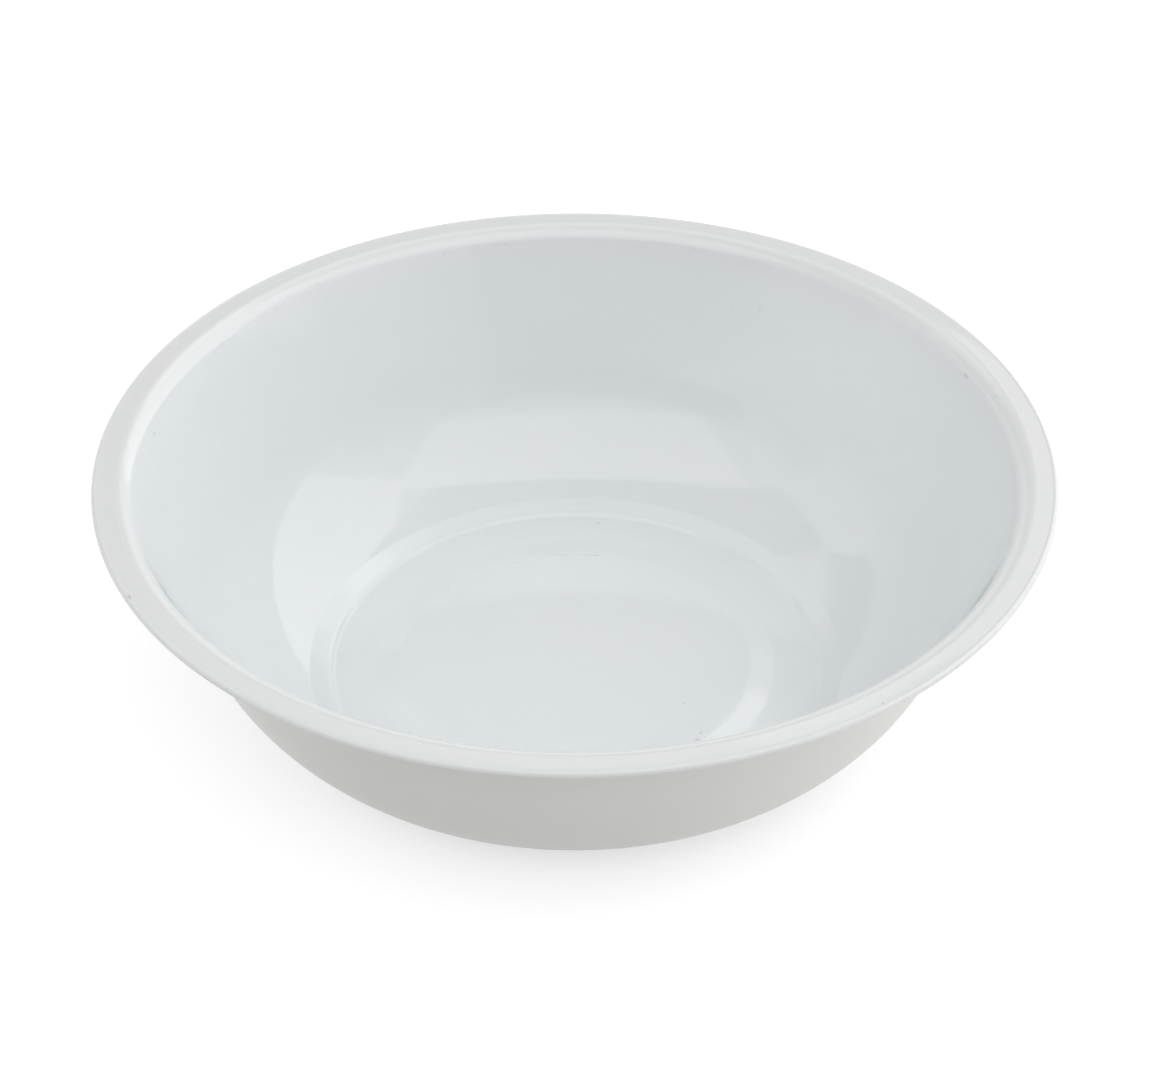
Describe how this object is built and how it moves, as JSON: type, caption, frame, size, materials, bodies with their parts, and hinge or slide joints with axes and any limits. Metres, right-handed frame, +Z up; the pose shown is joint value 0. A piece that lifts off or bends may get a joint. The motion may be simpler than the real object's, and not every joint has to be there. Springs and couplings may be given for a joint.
{
  "type": "bowl",
  "caption": "Round white-coated zinc sheet-metal bowl with a stepped foot, flared wall and flat flange with a wired bead, for washing, mixing or serving.",
  "frame": {"origin": "centre of the bowl, on the surface that its standing ring rests on", "axes": "+Z up along the bowl's axis of rotation, out of its mouth; +Y away from the picture's camera, +X to its right"},
  "size_m": [0.4, 0.4, 0.112],
  "materials": {
    "sheet": "satin",
    "wire": "satin",
    "coat_inside": "gloss",
    "coat_outside": "satin"
  },
  "bodies": {
    "root": {"bowl_shell": "sheet", "rim_wire": "wire", "inner_coat": "coat_inside", "outer_coat": "coat_outside"}
  },
  "joints": []
}
